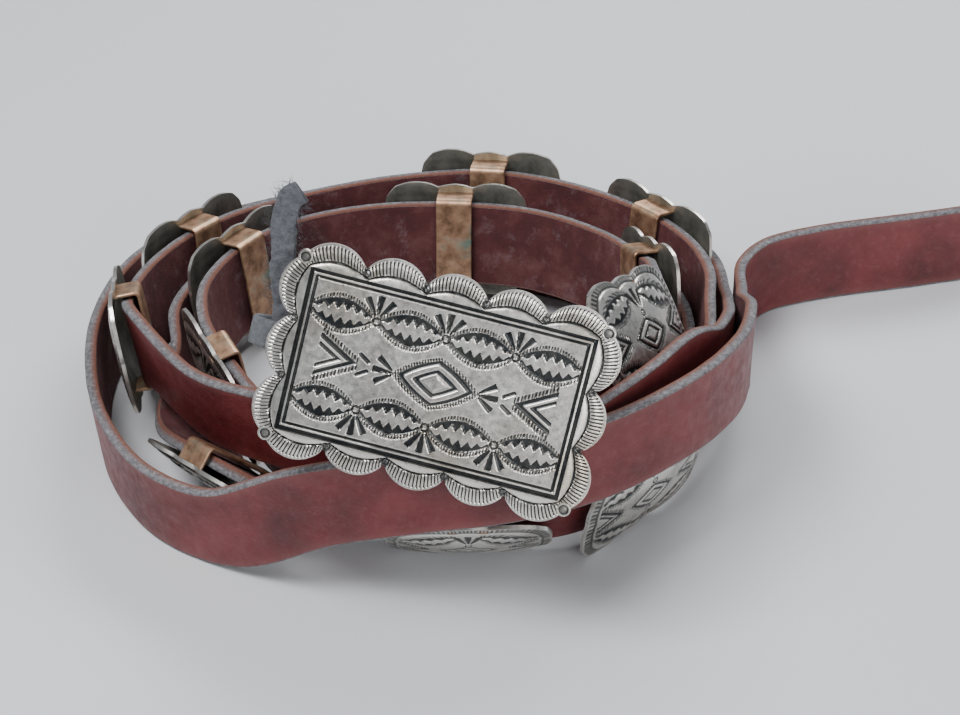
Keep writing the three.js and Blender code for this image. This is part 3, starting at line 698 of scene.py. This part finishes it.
def concho_mesh():
    count, rings, back_rings = 216, 66, 8
    middle, inside_cad = 0.004, 0.998
    theta, reach = concho_outline(count)
    share = np.linspace(middle, 1, rings)[:, None]
    x = share * (reach * np.cos(theta))[None] * inside_cad
    y = share * (reach * np.sin(theta))[None] * inside_cad
    depth = concho_depth(x, y, share + 0 * x)
    dome = CONCHO_DOME * (1 - share ** 2) + 0 * x
    top = SEAT + STRAP_THICK / 2 + CONCHO_THICK + dome - 0.04
    front = np.stack([x, y, top - 0.32 * depth], axis=-1)
    few = np.linspace(1, middle, back_rings)[:, None]
    bx = few * (reach * np.cos(theta))[None] * inside_cad
    by = few * (reach * np.sin(theta))[None] * inside_cad
    under = SEAT + STRAP_THICK / 2 + CONCHO_DOME * (1 - few ** 2) + 0.04 + 0 * bx
    back = np.stack([bx, by, under], axis=-1)
    points = np.concatenate([front.reshape(-1, 3), back.reshape(-1, 3)])
    total = rings + len(few)
    faces = grid_faces(total, count, True)
    groups = np.repeat(np.where(np.arange(total - 1) < rings, 0, 1), count)
    tint = np.concatenate([depth_tint(depth).ravel(), np.zeros(back.shape[0] * back.shape[1])])
    return points, faces, tint, groups


def loop_points(plate_back):
    """A bent strip of metal round the strap's back, in the plate's own frame."""
    inner = STRAP_WIDTH / 2 + LOOP_EDGE_GAP + LOOP_THICK / 2
    back = -STRAP_THICK / 2 - LOOP_BACK_GAP - LOOP_THICK / 2
    path = [(inner, plate_back)]
    for a in np.radians([0, 22, 45, 68, 90]):
        path.append((inner - LOOP_BEND + LOOP_BEND * math.cos(a),
                     back + LOOP_BEND - LOOP_BEND * math.sin(a)))
    path += [(inner * f, back) for f in (0.6, 0.3, 0, -0.3, -0.6)]
    for a in np.radians([90, 68, 45, 22, 0]):
        path.append((-inner + LOOP_BEND - LOOP_BEND * math.cos(a),
                     back + LOOP_BEND - LOOP_BEND * math.sin(a)))
    path.append((-inner, plate_back))
    path = np.array(path)
    along = unit(np.gradient(path, axis=0))
    normal = np.stack([-along[:, 1], along[:, 0]], axis=1)
    half, thick = LOOP_WIDTH / 2, LOOP_THICK / 2
    near, low = half - LOOP_CHAMFER, thick - LOOP_CHAMFER
    section = [(-near, thick), (0, thick), (near, thick), (half, low), (half, -low),
               (near, -thick), (0, -thick), (-near, -thick), (-half, -low), (-half, low)]
    points, tint = [], []
    for p, n in zip(path, normal):
        for wide, deep in section:
            q = p + n * deep
            points.append((wide, q[0], q[1]))
            tint.append(abs(wide) / half if abs(wide) > half - 0.3 else 0.2)
    faces = [tuple(f) for f in grid_faces(len(path), len(section), True)]
    faces.append(tuple(range(len(section)))[::-1])
    faces.append(tuple(range((len(path) - 1) * len(section), len(path) * len(section))))
    return np.array(points), faces, tint


# Thong, in the buckle's frame. Same short tables as the CAD: along is a share of half the
# frame's length, up a share of half its height, behind a distance in thong thicknesses
THONG_WIDTH, THONG_THICK, LACE_THICK, THONG_GAP = 7.4, 1.8, 2.2, 0.5
WRAP_COURSE = [(-0.9, 1), (-1.08, 1), (-1.22, 1.2), (-1.3, 2), (-1.3, 3), (-1.22, 3.8),
               (-1.08, 4.1), (-0.86, 4.1)]
LACE_COURSE = [(-1.1, -0.2, 2.5), (-1.1, 0.05, 2.6), (-1.13, 0.4, 2.8), (-1.2, 0.8, 3),
               (-1.24, 1.15, 3), (-1.27, 1.45, 2.6), (-1.25, 1.68, 2), (-1.19, 1.78, 1.6)]


def behind_plate(layers):
    return -(THONG_GAP + THONG_THICK * (layers - 0.5))


def strip_points(knots, width, thickness, across, steps, seed, ragged):
    fine, run, _ = catmull(np.array(knots, dtype=float))
    s = np.linspace(0, run[-1], steps)
    centre = np.stack([np.interp(s, run, fine[:, k]) for k in range(3)], axis=-1)
    along = unit(np.gradient(centre, axis=0))
    out = unit(np.cross(along, across))
    up = np.cross(out, along)
    section = []
    for k in range(STRIP_SIDES):
        a = 2 * math.pi * k / STRIP_SIDES
        c, v = math.cos(a), math.sin(a)
        section.append((math.copysign(abs(c) ** 0.35, c), math.copysign(abs(v) ** 0.6, v)))
    section = np.array(section)
    wobble = waves(s[:, None] * 0.8, section[:, 0][None] * 2, seed)
    rough = waves(s[:, None] * 2.2, section[:, 1][None] * 3, seed + 1)
    wide = section[:, 0][None] * width / 2 * (1 - ragged + ragged * wobble)
    deep = section[:, 1][None] * thickness / 2 * (1 - 0.15 + 0.15 * rough)
    points = centre[:, None] + up[:, None] * wide[..., None] + out[:, None] * deep[..., None]
    faces = [tuple(f) for f in grid_faces(steps, STRIP_SIDES, True)]
    faces.append(tuple(range(STRIP_SIDES))[::-1])
    faces.append(tuple(range((steps - 1) * STRIP_SIDES, steps * STRIP_SIDES)))
    return points.reshape(-1, 3), faces, (centre, along, up, out)


def hairs(path, width, count, seed):
    """Loose fibres of the suede: thin three-sided spikes that leave the strip's edges."""
    rng = np.random.default_rng(seed)
    centre, along, up, out = path
    points, faces = [], []
    for _ in range(count):
        i = rng.integers(2, len(centre) - 1)
        side = rng.choice([-1.0, 1.0])
        root = centre[i] + up[i] * side * width * 0.46 + out[i] * rng.uniform(-0.8, 0.8)
        way = up[i] * side * rng.uniform(0.3, 1) + along[i] * rng.uniform(-0.6, 1)
        way = unit(way + out[i] * rng.uniform(-0.5, 0.5))
        length = rng.uniform(0.6, 3.6)
        bend = unit(rng.normal(size=3)) * length * 0.35
        first = len(points)
        for k, t in enumerate((0.0, 0.5, 1.0)):
            middle = root + way * length * t + bend * t * t
            radius = 0.09 * (1 - 0.8 * t)
            for a in (0, 2.1, 4.2):
                points.append(middle + (up[i] * math.cos(a) + out[i] * math.sin(a)) * radius)
            if k:
                for m in range(3):
                    n = (m + 1) % 3
                    low = first + (k - 1) * 3
                    faces.append((low + m, low + n, low + n + 3, low + m + 3))
        faces.append((first, first + 2, first + 1))
        faces.append((first + 6, first + 7, first + 8))
    return np.array(points), faces


# Placing


def matrix_of(centre, along, up, out):
    centre = (np.asarray(centre) + SHIFT) / 1000
    rows = [[along[k], up[k], out[k], centre[k]] for k in range(3)]
    return rows + [[0, 0, 0, 1]]


def outward(piece):
    """Turns every face of a closed piece outward."""
    work = bmesh.new()
    work.from_mesh(piece.data)
    bmesh.ops.recalc_face_normals(work, faces=work.faces)
    work.to_mesh(piece.data)
    work.free()


def shade_by_angle(piece, degrees):
    """Faces that meet at more than this angle keep a sharp edge."""
    piece.data.set_sharp_from_angle(angle=math.radians(degrees))


def another(piece, name):
    copy = bpy.data.objects.new(name, piece.data)
    bpy.context.scene.collection.objects.link(copy)
    return copy


def settle(piece, node, matrix=None):
    if matrix is not None:
        piece.matrix_world = Matrix(matrix)
        bpy.context.view_layer.update()
    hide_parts(node)
    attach(piece, "root")


def strap_corner_box():
    s = np.arange(0, STRAP_LENGTH, 1.0)
    centre, along, up, out = frames_at(s)
    half, thick = STRAP_WIDTH / 2, STRAP_THICK / 2
    spots = [centre + up * a * (half - e) + out * b * (thick - f)
             for a in (-1, 1) for b in (-1, 1) for e, f in ((0.5, 0), (0, 0.5))]
    spots = np.concatenate(spots)
    return spots.min(axis=0), spots.max(axis=0)


low, high = (np.array(corner) * 1000 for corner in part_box("strap"))
own_low, own_high = strap_corner_box()
SHIFT = (low + high - own_low - own_high) / 2


def station_at(turn):
    """The strap's centre, along, up and out at one turn."""
    return tuple(part[0] for part in frames_at(np.array([distance_at_turn(turn)])))


def metal_piece(name, points, faces, tint, materials, sharp_angle, groups=None):
    piece = mesh_object(name, points, faces, tint, materials, groups)
    outward(piece)
    shade_by_angle(piece, sharp_angle)
    return piece


def place_strap(leather):
    strap = strap_piece("leather_strap", leather)
    outward(strap)
    strap.location = tuple(SHIFT / 1000)
    bpy.context.view_layer.update()
    settle(strap, "strap")


def place_conchos(silver, backs, copper):
    points, faces, tint, groups = concho_mesh()
    first_plate = metal_piece("concho_plate_1", points, faces, tint, [silver, backs], 50, groups)
    leg = (STRAP_WIDTH / 2 + LOOP_EDGE_GAP) / (CONCHO_HEIGHT / 2)
    plate_back = STRAP_THICK / 2 + SEAT + CONCHO_DOME * (1 - leg * leg) + CONCHO_THICK / 2
    points, faces, tint = loop_points(plate_back)
    first_loop = metal_piece("loop_1", points, faces, tint, [copper], 35)
    for i, turn in enumerate(CONCHO_TURNS):
        place = matrix_of(*station_at(turn))
        node = "concho_%02d" % (i + 1)
        plate = first_plate if i == 0 else another(first_plate, "concho_plate_%d" % (i + 1))
        loop = first_loop if i == 0 else another(first_loop, "loop_%d" % (i + 1))
        settle(plate, node, place)
        settle(loop, node, place)


def buckle_frame():
    """The buckle's place: seated on the strap and rolled a little in its own plane."""
    centre, along, up, out = station_at(BUCKLE_TURN)
    centre = centre + out * BUCKLE_SEAT
    roll = math.radians(BUCKLE_ROLL)
    rolled_along = along * math.cos(roll) - up * math.sin(roll)
    rolled_up = up * math.cos(roll) + along * math.sin(roll)
    return matrix_of(centre, rolled_along, rolled_up, out)


def hook_piece(material):
    """A bar bent to a hook, drawn as its profile and given a width."""
    profile = [(0, 0.75), (0, -7), (8.4, -7), (8.4, -5.6), (1.4, -5.6), (1.4, 0.75)]
    count = len(profile)
    half = HOOK_WIDTH / 2
    points = [(x - HOOK_PLACE, y, z) for y in (-half, half) for x, z in profile]
    faces = [tuple(range(count)), tuple(range(count, 2 * count))[::-1]]
    faces += [(k, (k + 1) % count, (k + 1) % count + count, k + count) for k in range(count)]
    hook = mesh_object("buckle_hook", points, faces, [0.2] * len(points), [material], smooth=False)
    outward(hook)
    bevel = hook.modifiers.new("Bevel", "BEVEL")
    bevel.width = 0.0003
    bevel.segments = 2
    return hook


def place_buckle(place, silver, backs, copper):
    points, faces, tint, groups = buckle_front()
    buckle = metal_piece("buckle_plate", points, faces, tint, [silver, backs], 50, groups)
    settle(buckle, "buckle", place)
    points, faces, tint = knob_points()
    settle(metal_piece("buckle_knobs", points, faces, tint, [silver], 40), "buckle", place)
    points, faces, tint = loop_points(BUCKLE_SEAT + BUCKLE_THICK / 2)
    points = points - np.array([0, 0, BUCKLE_SEAT])
    settle(metal_piece("buckle_bar", points, faces, tint, [copper], 35), "buckle", place)
    settle(hook_piece(backs), "buckle", place)


def place_thong(place, band, suede):
    half_x, half_y = FRAME_LENGTH / 2, FRAME_HEIGHT / 2
    knots = [(a * half_x, 1, behind_plate(b)) for a, b in WRAP_COURSE]
    points, faces, _ = strip_points(knots, THONG_WIDTH, THONG_THICK, [0.0, 1.0, 0.0], 60, 5, 0.02)
    wrap = mesh_object("suede_wrap", points, faces, None, [band])
    outward(wrap)
    settle(wrap, "thong_wrap", place)
    knots = [(a * half_x, u * half_y, behind_plate(b)) for a, u, b in LACE_COURSE]
    points, faces, path = strip_points(knots, THONG_WIDTH, LACE_THICK, [1.0, 0.0, 0.0], 110, 9, 0.12)
    more, more_faces = hairs(path, THONG_WIDTH, 460, 4)
    faces += [tuple(i + len(points) for i in f) for f in more_faces]
    lace = mesh_object("suede_end", np.concatenate([points, more]), faces, None, [suede])
    outward(lace)
    settle(lace, "thong_end", place)


silver, backs, copper = silver_material(), tarnished_material(), copper_material()
leather = [grain_material(), flesh_material(), cut_edge_material()]
suede = suede_material("suede", (0.035, 0.037, 0.045), (0.16, 0.165, 0.185))
band = suede_material("thong band", (0.07, 0.075, 0.085), (0.17, 0.175, 0.19))
buckle_place = buckle_frame()
place_strap(leather)
place_conchos(silver, backs, copper)
place_buckle(buckle_place, silver, backs, copper)
place_thong(buckle_place, band, suede)

# Stage, light and camera


def area_light(name, spot, aim, size, power, tint=(1, 1, 1)):
    data = bpy.data.lights.new(name, "AREA")
    data.shape = "RECTANGLE"
    data.size, data.size_y = size
    data.energy = power
    data.color = tint
    lamp = bpy.data.objects.new(name, data)
    bpy.context.scene.collection.objects.link(lamp)
    lamp.location = spot
    lamp.rotation_euler = (Vector(aim) - Vector(spot)).to_track_quat("-Z", "Y").to_euler()


FLOOR_HALF = 3
floor_mesh = bpy.data.meshes.new("Floor")
floor_corners = [(x * FLOOR_HALF, y * FLOOR_HALF, 0) for x, y in ((-1, -1), (1, -1), (1, 1), (-1, 1))]
floor_mesh.from_pydata(floor_corners, [], [(0, 1, 2, 3)])
floor = bpy.data.objects.new("Floor", floor_mesh)
bpy.context.scene.collection.objects.link(floor)
floor_shader = Shader("Floor")
floor_shader.surface.inputs["Base Color"].default_value = (0.55, 0.56, 0.58, 1)
floor_shader.surface.inputs["Roughness"].default_value = 0.8
floor_mesh.materials.append(floor_shader.material)

world = bpy.data.worlds.new("World")
world.use_nodes = True
world.node_tree.nodes["Background"].inputs["Color"].default_value = (0.75, 0.80, 0.88, 1)
world.node_tree.nodes["Background"].inputs["Strength"].default_value = 0.28
bpy.context.scene.world = world
area_light("Key", (-0.35, -0.25, 0.75), (0, 0, 0.03), (0.5, 0.35), 9)
area_light("Back", (0.25, 0.55, 0.6), (0, 0, 0.04), (0.7, 0.3), 7)
area_light("Front", (0.35, -0.8, 0.35), (0, 0, 0.04), (0.6, 0.4), 5)

ELEVATION, DISTANCE = math.radians(34), 0.8
LENS, SENSOR = 108.75, 36
AIM = (np.array([17.0, 0.0, 26.0]) + SHIFT) / 1000
camera_data = bpy.data.cameras.new("Camera")
camera_data.lens = LENS
camera_data.sensor_width = SENSOR
camera = bpy.data.objects.new("Camera", camera_data)
bpy.context.scene.collection.objects.link(camera)
camera.location = (AIM[0], AIM[1] - DISTANCE * math.cos(ELEVATION),
                   AIM[2] + DISTANCE * math.sin(ELEVATION))
camera.rotation_euler = (math.pi / 2 - ELEVATION, 0, 0)
bpy.context.scene.camera = camera
